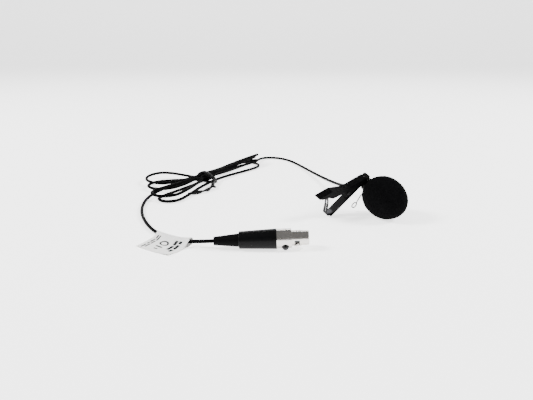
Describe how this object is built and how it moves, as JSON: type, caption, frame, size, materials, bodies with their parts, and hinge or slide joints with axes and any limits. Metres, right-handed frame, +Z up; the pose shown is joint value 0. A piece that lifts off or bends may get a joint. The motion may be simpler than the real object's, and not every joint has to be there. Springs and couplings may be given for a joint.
{
  "type": "lavalier microphone",
  "caption": "Clip-on lapel microphone with foam windscreen, spring clip on a wire holder, and a thin cable tied in a hank that ends in a miniature locking plug.",
  "frame": {"origin": "on the surface it lies on, under the middle of the microphone, its clip and its windscreen taken together, without the cable and plug", "axes": "+Z up; +X from the clip's finger end towards the windscreen as it lies, +Y away from the plug's side; the microphone's own axis is slanted"},
  "size_m": [0.1928, 0.2384, 0.0273],
  "materials": {
    "foam": "open-cell foam, matt",
    "black_metal": "satin black",
    "dark_steel": "dark spring steel",
    "steel": "plain",
    "nickel": "satin nickel",
    "aluminium": "drawn",
    "brass": "turned",
    "black_plastic": "fine satin",
    "gloss_black": "glossy",
    "black_rubber": "satin",
    "cable_black": "satin jacket",
    "insulator": "moulded",
    "board": "circuit board",
    "film": "metallised film",
    "felt": "felt",
    "paper": "white label stock",
    "core": "insulated core"
  },
  "bodies": {
    "root": {"mic_housing": "black_metal", "mic_grille": "black_metal", "mic_felt": "felt", "capsule_can": "aluminium", "capsule_diaphragm": "film", "capsule_backplate": "brass", "capsule_board": "board", "capsule_gasket": "black_rubber", "rear_cap": "black_plastic", "mic_strain_relief": "black_rubber", "cable_mic_tail": "cable_black", "mic_conductors": "core", "cable_mic_run": "cable_black", "cable_hank": "cable_black", "cable_plug_run": "cable_black", "cable_tie": "black_plastic", "cable_label": "paper", "plug_shell": "nickel", "plug_boot": "black_plastic", "plug_flex_relief": "black_rubber", "plug_insert": "insulator", "plug_contacts": "brass", "plug_latch_pin": "steel", "plug_cable_clamp": "insulator", "cable_plug_tail": "cable_black", "plug_conductors": "core"},
    "foam": {"windscreen": "foam"},
    "holder": {"holder_wire": "black_metal", "rivet_washer": "steel"},
    "clip_front": {"clip_front_arm": "black_metal", "clip_hinge_pin": "dark_steel", "clip_leaf_spring": "dark_steel", "holder_rivet": "steel"},
    "lever": {"clip_lever": "black_metal"},
    "latch": {"plug_latch": "nickel", "plug_latch_button": "gloss_black"}
  },
  "joints": [
    {"name": "windscreen_pull", "type": "slide", "parent": "root", "child": "foam", "axis": [0.5267, -0.7988, -0.2907], "range_m": [0, 0.03]},
    {"name": "holder_turn", "type": "hinge", "parent": "root", "child": "holder", "pos_m": [0.00653, 0.01228, 0.01877], "axis": [0.5267, -0.7988, -0.2907], "range_deg": [-60, 60]},
    {"name": "clip_swivel", "type": "hinge", "parent": "holder", "child": "clip_front", "pos_m": [0.00351, 0.00873, 0.02304], "axis": [-0.4735, -0.5597, 0.6801], "range_deg": [-90, 0]},
    {"name": "jaw_open", "type": "hinge", "parent": "clip_front", "child": "lever", "pos_m": [-0.00867, 0.00311, 0.01641], "axis": [0.5267, -0.7988, -0.2907], "range_deg": [0, 24], "stiffness_Nm_per_rad": 0.05, "springref_deg": -34.38, "deforming": ["clip_leaf_spring"]},
    {"name": "latch_press", "type": "hinge", "parent": "root", "child": "latch", "pos_m": [-0.05602, -0.05729, 0.00379], "axis": [-0.0312, -0.629, 0.7768], "range_deg": [0, 3.2], "stiffness_Nm_per_rad": 0.1, "springref_deg": -4.58}
  ]
}
